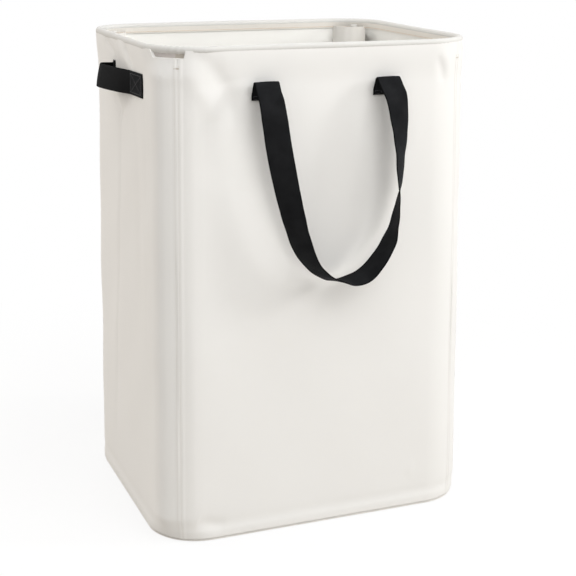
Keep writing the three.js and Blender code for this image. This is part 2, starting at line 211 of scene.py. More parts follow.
def makeMesh(name, points, faces, uv=None, kinds=None, crease=40):
    # uv holds one pair for each point, and kinds one material number for each face.
    mesh = bpy.data.meshes.new(name)
    mesh.vertices.add(len(points))
    mesh.vertices.foreach_set("co", np.ascontiguousarray(points, np.float32).ravel())
    mesh.loops.add(faces.size)
    mesh.loops.foreach_set("vertex_index", np.ascontiguousarray(faces, np.int32).ravel())
    mesh.polygons.add(len(faces))
    mesh.polygons.foreach_set("loop_start", np.arange(0, faces.size, faces.shape[1], dtype=np.int32))
    if kinds is not None:
        mesh.polygons.foreach_set("material_index", np.ascontiguousarray(kinds, np.int32))
    mesh.update(calc_edges=True)
    if uv is not None:
        layer = mesh.uv_layers.new(name="cloth")
        layer.data.foreach_set("uv", np.ascontiguousarray(uv[faces.ravel()], np.float32).ravel())
    mesh.polygons.foreach_set("use_smooth", np.ones(len(faces), bool))
    mesh.set_sharp_from_angle(angle=math.radians(crease))
    mesh.validate()
    piece = bpy.data.objects.new(name, mesh)
    bpy.context.scene.collection.objects.link(piece)
    return piece


def closedSheet(outer, inner, uv, closeColumns=False):
    # Two grids of the same size, joined along their edges into one closed body.
    rows, columns = outer.shape[:2]
    count = rows * columns
    faces = [
        gridFaces(rows, columns, 0, closeColumns),
        flipped(gridFaces(rows, columns, count, closeColumns)),
    ]
    index = np.arange(count).reshape(rows, columns)
    edges = [index[0, ::-1], index[-1, :]]
    if closeColumns:
        edges = [np.append(e, e[0]) for e in edges]
    else:
        edges += [index[:, 0], index[::-1, -1]]
    for line in edges:
        a, b = line[:-1], line[1:]
        faces.append(np.stack([a, b, b + count, a + count], 1))
    points = np.concatenate([outer.reshape(-1, 3), inner.reshape(-1, 3)])
    return points, np.concatenate(faces), np.concatenate([uv.reshape(-1, 2)] * 2)


def outwardFaces(points, faces):
    # Turns the faces round where the body's signed volume is negative.
    a, b, c, d = (points[faces[:, i]] for i in range(4))
    volume = (a * np.cross(b, c)).sum() + (a * np.cross(c, d)).sum()
    return faces if volume > 0 else flipped(faces)


def turnedRound(points, turned):
    # The rear and right pieces are the front and left ones turned half round the middle.
    return points * [-1, -1, 1] if turned else points


def sheetPiece(name, outer, inner, uv, turned=False, kinds=None, closeColumns=False):
    # One closed body from two grids. kinds covers the faces of the two grids, and the edges get 0.
    points, faces, uv = closedSheet(outer, inner, uv, closeColumns)
    points = turnedRound(points, turned)
    if kinds is not None:
        kinds = np.pad(kinds, (0, len(faces) - len(kinds)))
    return makeMesh(name, points, outwardFaces(points, faces), uv, kinds)


def runAlong(path):
    # Distance from the path's first point to each of its points, along the path.
    return np.concatenate([[0], np.cumsum(np.linalg.norm(np.diff(path, axis=0), axis=1))])


class Nodes:
    # Short calls for building the nodes of a material or of the world.
    def __init__(self, owner, shader="Principled BSDF"):
        owner.use_nodes = True
        self.owner = owner
        self.tree = owner.node_tree
        self.shader = self.tree.nodes[shader]

    def add(self, kind, inputs=None, **settings):
        node = self.tree.nodes.new(kind)
        for key, value in settings.items():
            setattr(node, key, value)
        for key, value in (inputs or {}).items():
            self.put(node, key, value)
        return node

    def put(self, node, key, value):
        socket = node.inputs[key]
        if isinstance(value, bpy.types.NodeSocket):
            self.tree.links.new(value, socket)
        else:
            socket.default_value = value

    def set(self, values):
        for key, value in values.items():
            self.put(self.shader, key, value)
        return self.owner

    def place(self):
        return self.add("ShaderNodeTexCoord").outputs["Object"]

    def cloth(self):
        # The piece's own UV map, in metres.
        return self.add("ShaderNodeUVMap", uv_map="cloth").outputs[0]

    def split(self, vector):
        return self.add("ShaderNodeSeparateXYZ", {"Vector": vector}).outputs

    def calc(self, operation, *values, clamp=False):
        values = dict(enumerate(values))
        return self.add("ShaderNodeMath", values, operation=operation, use_clamp=clamp).outputs[0]

    def noise(self, place, scale, detail=2.0, rough=0.5):
        values = {"Vector": place, "Scale": scale, "Detail": detail, "Roughness": rough}
        return self.add("ShaderNodeTexNoise", values).outputs["Fac"]

    def blend(self, share, first, second):
        return self.add("ShaderNodeMix", {0: share, 6: first, 7: second}, data_type="RGBA").outputs[2]

    def ranged(self, value, start, end, low, high):
        values = {"Value": value, "From Min": start, "From Max": end, "To Min": low, "To Max": high}
        return self.add("ShaderNodeMapRange", values).outputs[0]

    def spread(self, value, low, high):
        # Maps the middle of a noise to a range.
        return self.ranged(value, 0.3, 0.7, low, high)

    def bump(self, height, strength, depth):
        values = {"Height": height, "Strength": strength, "Distance": depth}
        return self.add("ShaderNodeBump", values).outputs[0]

    def seen(self):
        # 1 for rays of the camera, and for those that a mirror or a glass passes on.
        ray = self.add("ShaderNodeLightPath").outputs
        direct = self.calc("MAXIMUM", ray["Is Camera Ray"], ray["Is Glossy Ray"])
        return self.calc("MAXIMUM", direct, ray["Is Transmission Ray"])


def newMaterial(name):
    return Nodes(bpy.data.materials.new(name))


def tinted(colour, tint):
    # A colour times a tint or a share, with its alpha at 1.
    return [float(c) for c in np.array(colour[:3]) * tint] + [1]


def weave(n, place, look):
    # Over-and-under threads: the product of two sine waves across each other, with uneven threads.
    pitch = look["pitch"]
    split = n.split(place)
    uneven = n.noise(place, 1 / (pitch * 14), 2)
    wobble = n.calc("MULTIPLY", n.calc("SUBTRACT", uneven, 0.5), pitch * 2.2)
    waves = []
    for axis in (0, 1):
        along = n.calc("ADD", split[axis], wobble)
        waves.append(n.calc("SINE", n.calc("MULTIPLY", along, 2 * math.pi / pitch)))
    crossed = n.calc("MULTIPLY", waves[0], waves[1])
    height = n.calc("ADD", crossed, n.calc("MULTIPLY", n.noise(place, look["lumps"], 4), 3.0))
    return crossed, n.bump(height, look["strength"], look["depth"])


clothLook = dict(
    colour=(0.886, 0.881, 0.86, 1),
    shade=(0.87, 0.858, 0.83, 1),
    pitch=0.0008,
    depth=0.00006,
    strength=0.35,
    lumps=900,
    patches=7,
    fuzz=420,
    rough=(0.86, 0.95),
    sheen=0.08,
)


def clothMaterial(name, look, tint=(1, 1, 1)):
    # The second colour comes through in broad patches, in fuzz and on the crossings of the threads.
    n = newMaterial(name)
    uv, place = n.cloth(), n.place()
    threads, bump = weave(n, uv, look)
    broad = n.spread(n.noise(place, look["patches"], 3), 0, 0.35)
    fine = n.calc("MULTIPLY", n.noise(uv, look["fuzz"], 3), 0.35)
    share = n.calc("ADD", n.calc("ADD", broad, fine), n.calc("MULTIPLY", threads, 0.08), clamp=True)
    return n.set({
        "Base Color": n.blend(share, tinted(look["colour"], tint), tinted(look["shade"], tint)),
        "Roughness": n.spread(n.noise(place, 60), *look["rough"]),
        "Normal": bump,
        "Sheen Weight": look["sheen"],
        "Sheen Roughness": 0.5,
    })


webbingLook = dict(
    colour=(0.0058, 0.0061, 0.0068, 1),
    worn=(0.0175, 0.018, 0.0195, 1),
    edge=(0.0038, 0.004, 0.0045, 1),
    edgePlace=(0.0142, 0.0158),
    pitch=0.0011,
    ribs=1.7,
    rough=(0.6, 0.8),
    gloss=0.035,
    sheen=0.025,
    sheenTint=(0.72, 0.78, 0.9, 1),
)


def webbingMaterial(name, look, share=1.0):
    # The first UV runs across the band from its middle, and the second runs along it. share scales down the
    # face's colours, which the handles use for painted shade.
    n = newMaterial(name)
    uv, place = n.cloth(), n.place()
    split = n.split(uv)
    across = n.calc("SINE", n.calc("MULTIPLY", split[0], 2 * math.pi / look["pitch"]))
    along = n.calc("SINE", n.calc("MULTIPLY", split[1], 2 * math.pi / (look["pitch"] * look["ribs"])))
    height = n.calc("ADD", n.calc("MULTIPLY", across, along), n.calc("MULTIPLY", n.noise(uv, 1300, 3), 2.0))
    patches, fuzz = n.spread(n.noise(place, 45, 4), 0.0, 0.6), n.calc("MULTIPLY", n.noise(uv, 1500, 2), 0.5)
    wear = n.calc("ADD", patches, fuzz, clamp=True)
    face = n.blend(wear, tinted(look["colour"], share), tinted(look["worn"], share))
    rim = n.ranged(n.calc("ABSOLUTE", split[0]), *look["edgePlace"], 0, 1)
    return n.set({
        "Base Color": n.blend(rim, face, look["edge"]),
        "Roughness": n.spread(n.noise(uv, 700), *look["rough"]),
        "Specular IOR Level": look["gloss"],
        "Normal": n.bump(height, 0.55, 0.00012),
        "Sheen Weight": look["sheen"],
        "Sheen Roughness": 0.4,
        "Sheen Tint": look["sheenTint"],
    })


def threadMaterial(name, colour):
    n = newMaterial(name)
    place = n.place()
    return n.set({
        "Base Color": n.blend(n.noise(place, 900, 2), colour, tinted(colour, 0.75)),
        "Roughness": n.spread(n.noise(place, 500), 0.5, 0.7),
        "Normal": n.bump(n.noise(place, 5000, 2), 0.4, 0.0001),
        "Sheen Weight": 0.2,
    })


gripLook = dict(
    face=((0.5, 0.455, 0.43, 1), (0.72, 0.675, 0.645, 1)),
    block=((0.44, 0.4, 0.35, 1), (0.6, 0.55, 0.485, 1)),
    blockStart=0.572,
)


def gripMaterial(name, look):
    # Loops of a grip tape: coarse speckle, darker over the block at its far end.
    n = newMaterial(name)
    uv = n.cloth()
    speckle = n.spread(n.noise(uv, 1500, 3, 0.7), 0, 1)
    side = n.calc("GREATER_THAN", n.split(uv)[0], look["blockStart"])
    return n.set({
        "Base Color": n.blend(side, n.blend(speckle, *look["face"]), n.blend(speckle, *look["block"])),
        "Roughness": n.spread(speckle, 0.85, 0.98),
        "Normal": n.bump(n.noise(uv, 1800, 4, 0.7), 0.9, 0.0004),
    })


def plasticMaterial(name, colour, rough):
    n = newMaterial(name)
    place = n.place()
    return n.set({
        "Base Color": n.blend(n.spread(n.noise(place, 30, 3), 0, 1), colour, tinted(colour, 0.9)),
        "Roughness": n.spread(n.noise(place, 200), rough - 0.08, rough + 0.08),
        "Normal": n.bump(n.noise(place, 1400, 3), 0.15, 0.0001),
    })


def steelMaterial(name, dark, bright):
    n = newMaterial(name)
    place = n.place()
    return n.set({
        "Base Color": n.blend(n.noise(place, 90, 3), dark, bright),
        "Metallic": 1.0,
        "Roughness": n.spread(n.noise(place, 300), 0.25, 0.45),
        "Normal": n.bump(n.noise(place, 3000, 2), 0.2, 0.00005),
    })


cloth = clothMaterial("wall_cloth", clothLook)
lining = clothMaterial("sleeve_cloth", clothLook, (0.985, 0.965, 0.94))
# A lighter copy of the wall cloth for the walls' inner faces: painted light for the brighter inside of the
# hamper.
litInsideCloth = clothMaterial("inside_cloth_painted_light", clothLook, (1.07, 1.07, 1.06))
# The casing's cloth is the wall cloth darkened to grey: painted shade over the rim's roll.
shadedCasingCloth = clothMaterial("casing_cloth", clothLook, (0.8, 0.795, 0.785))
hemCloth = clothMaterial("hem_cloth", clothLook, (1.03, 1.0, 0.96))
webbing = webbingMaterial("black_webbing", webbingLook)
# The handles' webbing is the strap's webbing darkened to 22 percent: painted shade.
shadedHandleWebbing = webbingMaterial("handle_webbing", webbingLook, 0.22)
paleThread = threadMaterial("pale_thread", (0.74, 0.69, 0.62, 1))
hemThread = threadMaterial("hem_thread", (0.78, 0.55, 0.36, 1))
blackThread = threadMaterial("black_thread", (0.018, 0.019, 0.023, 1))
grip = gripMaterial("grip_tape", gripLook)
rodPlastic = plasticMaterial("rod_plastic", (0.76, 0.76, 0.73, 1), 0.4)
capPlastic = plasticMaterial("cap_plastic", (0.74, 0.72, 0.68, 1), 0.5)
boardCloth = plasticMaterial("board_face", (0.68, 0.65, 0.6, 1), 0.8)
steel = steelMaterial("wire_steel", (0.5, 0.5, 0.51, 1), (0.62, 0.62, 0.63, 1))


def paint(piece, *materials):
    for material in materials:
        piece.data.materials.append(material)
    return piece


def settle(piece, body, nodes=(), crumple=True):
    # Gives a piece its body and hides the solids that it stands for. With crumple the piece gets its own
    # copy of its mesh.
    if nodes:
        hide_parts(*nodes)
    if crumple:
        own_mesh(piece)
    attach(piece, body)
    return piece


say("materials")


wallLook = dict(
    wave=0.0008,
    mouthStart=0.27,
    mouthEnd=0.685,
    mouthDepth=0.0054,
    tuck=0.0036,
    topOut=0.0034,
    topBand=(0.588, 0.633),
    backBand=(0.606, 0.624),
    rowMarks=(0, 0.008, 0.06, 0.84, 1),
    rowCounts=(6, 16, 84, 56),
    cornerStep=0.0011,
    slitBottom=0.6135,
    hemRadius=0.0035,
    boardEdge=0.0007,
    cornerLow=0.035,
    cornerHigh=0.6,
    cornerTop=0.63,
    cornerKept=0.3,
    cornerScale=1.7,
)

# A felled seam: its step, its two rows of stitches, the slit above the bar tack and the tack.
seamLook = dict(
    step=0.0005,
    rowAway=0.0021,
    rowDepth=0.00022,
    rowWidth=0.0006,
    slit=0.0009,
    rowEnds=(0.006, 0.6195),
    spread=0.0006,
    pitch=0.0031,
    stitch=0.0023,
    thread=0.00018,
    tackHalf=0.0036,
    tackStep=0.00028,
)

# How the cloth leaves the plain round of a corner, stretched over its rod: share of the corner
# and degrees by which it turns ahead of the round. The share is counted from the side panel.
cornerBend = np.array([
    (0, 0), (0.10, -7), (0.28, -16), (0.36, -11), (0.43, 3), (0.49, 9), (0.56, 9), (0.64, 6),
    (0.72, 6), (0.80, 8), (0.88, 6), (0.95, 2), (1, 0),
])

# How much of that bend each corner has.
cornerSize = [1.0, 0.25, 1.0, 0.25]

# Folds in the cloth: half width, height and the line of each, as metres along the panel from its
# middle and height above the floor.
frontFolds = [
    (0.0115, -0.0021, [
        (-0.182, 0.634), (-0.168, 0.628), (-0.157, 0.620), (-0.146, 0.607), (-0.136, 0.593),
        (-0.129, 0.576), (-0.124, 0.557), (-0.122, 0.539),
    ]),
    (0.012, 0.0015, [(-0.178, 0.612), (-0.170, 0.592), (-0.158, 0.575), (-0.148, 0.55)]),
    (0.016, 0.0012, [(-0.118, 0.60), (-0.112, 0.57), (-0.108, 0.53)]),
    (0.010, -0.0014, [(-0.098, 0.576), (-0.104, 0.55), (-0.106, 0.52)]),
    (0.011, -0.0012, [(0.062, 0.574), (0.055, 0.545), (0.046, 0.51)]),
    (0.007, 0.0011, [(0.163, 0.626), (0.172, 0.612), (0.176, 0.590)]),
    (0.006, -0.0011, [(0.158, 0.618), (0.165, 0.602), (0.168, 0.584)]),
    (0.009, -0.0016, [(-0.172, 0.030), (-0.155, 0.024), (-0.135, 0.017)]),
    (0.006, 0.0009, [(0.125, 0.062), (0.131, 0.050)]),
]
sideFolds = [
    (0.008, -0.0026, [(-0.076, 0.630), (-0.029, 0.616), (-0.020, 0.604)]),
    (0.009, 0.0025, [(0.006, 0.633), (0.030, 0.618), (0.062, 0.604)]),
    (0.006, -0.0021, [(0.034, 0.629), (0.050, 0.619), (0.066, 0.607)]),
    (0.010, -0.0026, [(-0.036, 0.562), (-0.002, 0.540), (0.041, 0.567)]),
    (0.016, 0.0027, [(0.040, 0.587), (0.062, 0.587), (0.084, 0.587)]),
    (0.0017, 0.0009, [
        (-0.003, 0.633), (-0.004, 0.543), (-0.014, 0.420), (-0.030, 0.288), (-0.047, 0.148),
        (-0.061, 0.023),
    ]),
    (0.0024, -0.0008, [
        (-0.008, 0.60), (-0.009, 0.543), (-0.019, 0.420), (-0.035, 0.288), (-0.052, 0.148),
        (-0.066, 0.023),
    ]),
    (0.02, -0.0015, [(0.07, 0.56), (0.082, 0.45), (0.085, 0.3)]),
]


def mouthShare(turn):
    # 1 at the two open rod mouths, with a slant where a mouth starts. The other two stay closed.
    part = np.floor(turn + 1e-9)
    share = np.where(part % 4 == 0, turn - part, 2.0)
    mouth = smooth(share, wallLook["mouthStart"] - 0.03, wallLook["mouthStart"] + 0.04)
    return mouth * (1 - smooth(share, wallLook["mouthEnd"] - 0.01, wallLook["mouthEnd"] + 0.01))


def wallTopAt(turn):
    # A little above the solid's top edge, so that the cloth ends inside the casing's round.
    low, high = -wallLook["mouthDepth"], wallLook["tuck"]
    return hamper["wallTop"] + mix(high, low, mouthShare(turn))


def wallWaves(metres, z, wall):
    # Slow swells in the cloth: sines along the wall and up it, held flat at the rim and the base.
    rng = np.random.default_rng(40 + wall)
    hold = np.sin(np.pi * np.clip(z / hamper["wallTop"], 0, 1)) ** 0.6
    total = 0.0
    for step in range(7):
        run, rise = rng.uniform(2.0, 9.0), rng.uniform(-7.0, 7.0)
        start = rng.uniform(0, 2 * math.pi)
        total = total + np.sin(2 * math.pi * (run * metres + rise * z) + start) / (1 + 0.35 * step)
    return wallLook["wave"] * 0.5 * total * hold


def cornerRelief(turn, z, corner):
    # The heights that give the corner's bend: the sum of its slopes, level at both ends.
    share = turn - 2 * corner
    share = share if corner % 2 == 0 else 1 - share
    place = np.linspace(0, 1, 401)
    slope = -np.tan(np.radians(eased(place, cornerBend[:, 0], cornerBend[:, 1])))
    height = np.cumsum(slope) * partLengths()[0] / 400
    height = height - place * height[-1]
    top = mix(1, wallLook["cornerKept"], smooth(z, wallLook["cornerHigh"], wallLook["cornerTop"]))
    fade = wallLook["cornerScale"] * smooth(z, 0.0, wallLook["cornerLow"]) * top
    return cornerSize[corner % 4] * np.interp(share, place, height, 0, 0) * fade


def foldAlong(u, v, half, height, line):
    # A bell across the line of the fold, which runs out at both ends.
    line = np.array(line)
    steps = np.diff(line, axis=0)
    lengths = np.hypot(steps[:, 0], steps[:, 1])
    starts = np.concatenate([[0], np.cumsum(lengths)])
    nearest, share = np.full(u.shape, np.inf), np.zeros(u.shape)
    for point, step, length, start in zip(line, steps, lengths, starts):
        t = np.clip(((u - point[0]) * step[0] + (v - point[1]) * step[1]) / length ** 2, 0, 1)
        gap = np.hypot(u - point[0] - t * step[0], v - point[1] - t * step[1])
        share = np.where(gap < nearest, (start + t * length) / starts[-1], share)
        nearest = np.minimum(gap, nearest)
    return height * bell(nearest, 0, half) * np.clip(4 * share * (1 - share), 0.05, 1) ** 0.5


def topBulge(z):
    # At the top the cloth comes out towards the outside of the casing's round.
    return wallLook["topOut"] * smooth(z, *wallLook["topBand"])


def wallRelief(turn, z, wall):
    # How far the cloth stands out from its middle surface.
    metres = metresAt(turn)
    relief = wallWaves(metres, z, wall)
    for corner in (wall, wall + 1):
        relief = relief + cornerRelief(turn, z, corner)
    along = metres - metresAt(2 * wall + 1.5)
    for half, height, line in (sideFolds if wall % 2 else frontFolds):
        relief = relief + foldAlong(along, z, half, height, line)
    # The board's edge pushes the cloth out, and below it the cloth turns in around the bottom seam.
    relief = relief + wallLook["boardEdge"] * (1 - smooth(z, 0.011, 0.019)) - 0.0005 * bell(z, 0.023, 0.006)
    low = np.clip(1 - (z - hamper["wallBottom"]) / wallLook["hemRadius"], 0, 1)
    return relief - 0.002 * low ** 2 + topBulge(z)


def seamRelief(metres, z, seam):
    # A step at the fold and a shallow bell-shaped groove under each row of stitches.
    look = seamLook
    away = metres - seam
    step = look["step"] * (smooth(away, -0.0036, -0.0030) - smooth(away, 0.0045, 0.0075))
    rows = sum(bell(away, side * look["rowAway"], look["rowWidth"]) for side in (-1, 1))
    slit = smooth(z, wallLook["slitBottom"], wallLook["slitBottom"] + 0.008)
    return step - look["rowDepth"] * rows - look["slit"] * slit * bell(away, 0, look["slit"])


def columnTurns(first, last, flatColumns):
    # The turns of one panel's columns, fine at the corners and coarser on the flat side.
    step = wallLook["cornerStep"]
    edge0, edge1 = metresAt(np.array([first, last]))
    flat0, flat1 = metresAt(np.array([math.ceil(first), math.floor(last)]))
    marks = np.concatenate([
        np.linspace(edge0, flat0, round((flat0 - edge0) / step), endpoint=False),
        np.linspace(flat0, flat1, flatColumns, endpoint=False),
        np.linspace(flat1, edge1, round((edge1 - flat1) / step)),
    ])
    return turnAt(marks)


def rowShares():
    # Rows up the wall, closer together at its foot and under the rim.
    marks, counts = wallLook["rowMarks"], wallLook["rowCounts"]
    return np.concatenate([
        np.linspace(low, high, count, endpoint=high == 1)
        for low, high, count in zip(marks, marks[1:], counts)
    ])


def makeWall(wall, name):
    # The cloth's two faces, half its thickness to each side of the relief. Inside, the top runs
    # straight up behind the casing's hem.
    turn = columnTurns(seamTurn(wall), seamTurn(wall + 1), 150 if wall % 2 else 130)
    turn, share = np.meshgrid(turn, rowShares())
    z = mix(hamper["wallBottom"], wallTopAt(turn), share)
    metres = metresAt(turn)
    relief = wallRelief(turn, z, wall)
    for corner in (wall, wall + 1):
        relief = relief + seamRelief(metres, z, metresAt(seamTurn(corner)))
    half = hamper["cloth"] / 2
    back = mix(relief - topBulge(z), 0.0, smooth(z, *wallLook["backBand"])) - half
    back = np.minimum(back, relief - half)
    kinds = np.repeat([0, 1], (turn.shape[0] - 1) * (turn.shape[1] - 1))
    outer, inner = onWall(turn, z, relief + half), onWall(turn, z, back)
    piece = sheetPiece(name, outer, inner, np.stack([metres, z], -1), kinds=kinds)
    # The outer faces get the cloth, and the inner faces its lighter copy, which paints light on the inside.
    settle(paint(piece, cloth, litInsideCloth), "base", [name.replace("_wall", "_panel")])
    return piece


def makeBottom():
    # Rows over Y, with the columns spread over the rounded rectangle's width at each row.
    length, width, radius = outline(0.0)
    rise = np.sin(np.linspace(-math.pi / 2, math.pi / 2, 90))
    y = (rise * width)[:, None]
    over = np.clip(np.abs(y) - (width - radius), 0, radius)
    across = np.sin(np.linspace(-math.pi / 2, math.pi / 2, 110))[None]
    x = (length - radius + np.sqrt(radius ** 2 - over ** 2)) * across
    y = y + 0 * x
    lumps = 0.00012 * (1 + np.sin(61 * x + 3 * np.sin(23 * y)) * np.sin(53 * y + 2))
    outer = np.stack([x, y, 0 * x + hamper["cloth"]], -1)
    inner = np.stack([x, y, lumps], -1)
    piece = sheetPiece("bottom_cloth", outer, inner, np.stack([x, y], -1))
    settle(paint(piece, lining), "base", ["bottom_panel"])
    return piece


wallNames = ["front_wall", "right_wall", "back_wall", "left_wall"]


casingLook = dict(
    bore=0.00345,
    outer=0.00445,
    legOut=0.0016,
    legDrop=0.0047,
    hemOut=0.0021,
    hemDrop=0.0098,
    pleat=0.00038,
    pleatLength=0.0068,
    slack=0.00022,
    step=0.0022,
    hemRow=35,
)


def casingSection():
    # Points (offset, height above the wire) and the way the cloth faces: a straight leg outside,
    # the round over the wire and a straight hem inside. A line from a leg's end touches the round
    # at the angle asin(radius / distance) less the leg's own slant.
    look = casingLook
    below = []
    for out, drop in ((look["legOut"], look["legDrop"]), (look["hemOut"], look["hemDrop"])):
        below.append(math.asin(look["outer"] / math.hypot(out, drop)) - math.atan2(out, drop))
    turn = np.linspace(-below[0], math.pi + below[1], 30)
    around = np.stack([np.cos(turn), np.sin(turn)], 1)
    leg = np.linspace(0, 1, 8)[:-1, None]
    hem = np.linspace(0, 1, 12)[1:, None]
    points = np.concatenate([
        mix(np.array([look["legOut"], -look["legDrop"]]), look["outer"] * around[0], leg),
        look["outer"] * around,
        mix(look["outer"] * around[-1], np.array([-look["hemOut"], -look["hemDrop"]]), hem),
    ])
    facing = np.concatenate([around[:1] + 0 * leg, around, around[-1:] + 0 * hem])
    return points, facing


def makeCasing():
    # The section carried round the rim. Its pleats are one sine along the rim with an uneven
    # phase, strongest in the corners.
    look = casingLook
    metres = np.arange(0, metreMarks[8], look["step"])
    turn = turnAt(metres)[:, None]
    along = metres[:, None]
    points, facing = (a[None] for a in casingSection())
    bent = np.sin(np.pi * np.clip(np.where(np.floor(turn) % 2 == 0, turn % 1, 0), 0, 1))
    phase = 1.3 * np.sin(along * 61) + 0.9 * np.sin(along * 143 + 1)
    size = look["pleat"] * (0.22 + bent) * (0.7 + 0.3 * np.sin(along * 37))
    around = np.linspace(0, 1, points.shape[1])[None, :]
    fold = size * np.sin(2 * math.pi * along / look["pleatLength"] + phase + 2.5 * around)
    slack = look["slack"] * np.sin(along * 24 + 5 * around) * np.sin(np.pi * around)
    away = ((fold + slack) * (0.35 + 0.65 * np.sin(np.pi * around)))[..., None]
    outer = points + away * facing
    inner = points + (0.5 * away - look["outer"] + look["bore"]) * facing
    places = [
        onWall(turn, hamper["wireHeight"] + s[..., 1], s[..., 0]).transpose(1, 0, 2)
        for s in (outer, inner)
    ]
    run = runAlong(points[0])
    uv = np.stack(np.broadcast_arrays(along, run[None, :] + 0.7), -1).transpose(1, 0, 2)
    kinds = np.tile(np.repeat(np.arange(outer.shape[1] - 1) > look["hemRow"], len(metres)), 2)
    piece = sheetPiece("rim_casing_cloth", *places, uv, kinds=kinds, closeColumns=True)
    # The leg and the round get the darkened cloth, painted shade, and the hem its own cloth.
    settle(paint(piece, shadedCasingCloth, hemCloth), "rim", ["rim_casing"], crumple=False)
    return piece


def stitchMesh(starts, ends, normals, radius, sides=6, rings=5):
    # Each stitch is a bead, long between its two holes: an ellipsoid as a function of the angle
    # along it and the angle around it.
    ahead = ends - starts
    half = np.linalg.norm(ahead, axis=1, keepdims=True) / 2
    ahead = ahead / np.maximum(2 * half, 1e-9)
    side = unit(np.cross(normals, ahead))
    top = np.cross(ahead, side)
    slope = np.linspace(0.12, math.pi - 0.12, rings)[None, :, None, None]
    around = np.linspace(0, 2 * math.pi, sides, endpoint=False)[None, None, :, None]
    centre = ((starts + ends) / 2)[:, None, None, :]
    spoke = np.cos(around) * side[:, None, None, :] + np.sin(around) * top[:, None, None, :]
    ring = radius * np.sin(slope) * spoke
    points = centre + half[:, :, None, None] * np.cos(slope) * ahead[:, None, None, :] + ring
    count = len(starts)
    body = gridFaces(rings, sides, 0, True)
    cap = np.array([[0, 1, 2, 3], [0, 3, 4, 5]])
    caps = np.concatenate([cap, flipped(cap + (rings - 1) * sides)])
    one = np.concatenate([flipped(body), flipped(caps)])
    faces = (np.arange(count)[:, None, None] * rings * sides + one[None]).reshape(-1, 4)
    return points.reshape(-1, 3), faces


def stitchLine(path, normals, pitch, length):
    # Starts, ends and normals of the stitches along a line of points.
    run = runAlong(path)
    starts = np.arange(0, run[-1] - length, pitch)

    def at(values, marks):
        return np.stack([np.interp(marks, run, values[:, i]) for i in range(3)], 1)

    return at(path, starts), at(path, starts + length), unit(at(normals, starts + length / 2))


def makeStitches(name, lines, radius, material, body, crumple=True):
    starts, ends, normals = (np.concatenate(p) for p in zip(*lines))
    points, faces = stitchMesh(starts, ends, normals, radius)
    uv = np.zeros((len(points), 2))
    piece = makeMesh(name, points, outwardFaces(points, faces), uv, crease=80)
    return settle(paint(piece, material), body, (), crumple)


def wallLine(metres, z, wall, lift):
    # Points and outward directions on the finished wall.
    turn = turnAt(metres)
    relief = wallRelief(turn, z, wall) + hamper["cloth"] / 2 + lift
    for corner in (wall, wall + 1):
        relief = relief + seamRelief(metres, z, metresAt(seamTurn(corner)))
    points = onWall(turn, z, relief)
    return points, unit(onWall(turn, z, relief + 0.01) - points)


def makeSeamStitches(corner):
    # A row on each side of the seam, parting a little at the slit, and a bar tack across its foot.
    look = seamLook
    seam = metresAt(seamTurn(corner))
    z = np.linspace(*look["rowEnds"], 500)
    lines = []
    for away in (-look["rowAway"], look["rowAway"]):
        spread = np.sign(away) * look["spread"] * smooth(z, 0.606, 0.618)
        wall = corner if away > 0 else (corner - 1) % 4
        base = 0 if away > 0 or corner > 0 else metreMarks[8]
        path, normals = wallLine(seam + base + away + spread, z, wall, 0.0001)
        lines.append(stitchLine(path, normals, look["pitch"], look["stitch"]))
    across = seam + np.array([-look["tackHalf"], look["tackHalf"]])
    for step in range(7):
        height = np.full(2, wallLook["slitBottom"] + step * look["tackStep"])
        path, normals = wallLine(across, height, corner, 0.0002)
        lines.append((path[:1], path[1:], normals[:1]))
    name = f"{cornerNames[corner]}_seam_stitches"
    return makeStitches(name, lines, look["thread"], paleThread, "base")


hemRowLook = dict(up=0.0022, pitch=0.0032, stitch=0.0025, thread=0.0003)


def makeHemStitches():
    # One row inside, near the hem's edge.
    look = hemRowLook
    metres = np.arange(0, metreMarks[8] + 0.004, 0.004)
    turn = turnAt(metres)
    drop = look["up"] - casingLook["hemDrop"]
    hem = casingSection()[0][-11:]
    offset = np.interp(drop, hem[::-1, 1], hem[::-1, 0])
    z = np.full(metres.size, hamper["wireHeight"] + drop)
    path = onWall(turn, z, offset - 0.0002)
    normals = unit(onWall(turn, z, offset - 0.01) - path)
    lines = [stitchLine(path, normals, look["pitch"], look["stitch"])]
    return makeStitches("rim_hem_stitches", lines, look["thread"], hemThread, "rim", False)


tapeLook = dict(
    ends=(0.255, 0.69),
    bottom=0.6235,
    half=0.0004,
    rough=0.00012,
    open=dict(top=0.634, out=0.0014),
    closed=dict(top=0.6312, out=-0.0016),
)


def makeTape(corner):
    # A strip along the corner's arc, in the mouth where it is open and behind the wall where not.
    look = tapeLook
    way = look["open" if corner % 2 == 0 else "closed"]
    share, rise = np.meshgrid(np.linspace(*look["ends"], 60), np.linspace(0, 1, 12))
    turn, z = 2 * corner + share, mix(look["bottom"], way["top"], rise)
    rough = np.random.default_rng(90 + corner).uniform(-1, 1, turn.shape) * look["rough"]
    outer = onWall(turn, z, way["out"] + look["half"] + rough)
    inner = onWall(turn, z, way["out"] - look["half"])
    name = f"{cornerNames[corner]}_mouth"
    piece = sheetPiece(f"{name}_grip", outer, inner, np.stack([turn - 2 * corner, z], -1))
    return settle(paint(piece, grip), "rim", [f"{name}_tape"])


rodLook = dict(
    setIn=0.0112,
    capRadius=0.0052,
    slack=0.0006,
    cloth=0.0008,
    bottom=0.0048,
    top=0.6292,
    sleeveShare=0.5,
    creases=0.0007,
    sewnAway=0.012,
    rowEnds=(0.01, 0.6),
    pitch=0.0032,
    stitch=0.0024,
    thread=0.00022,
)


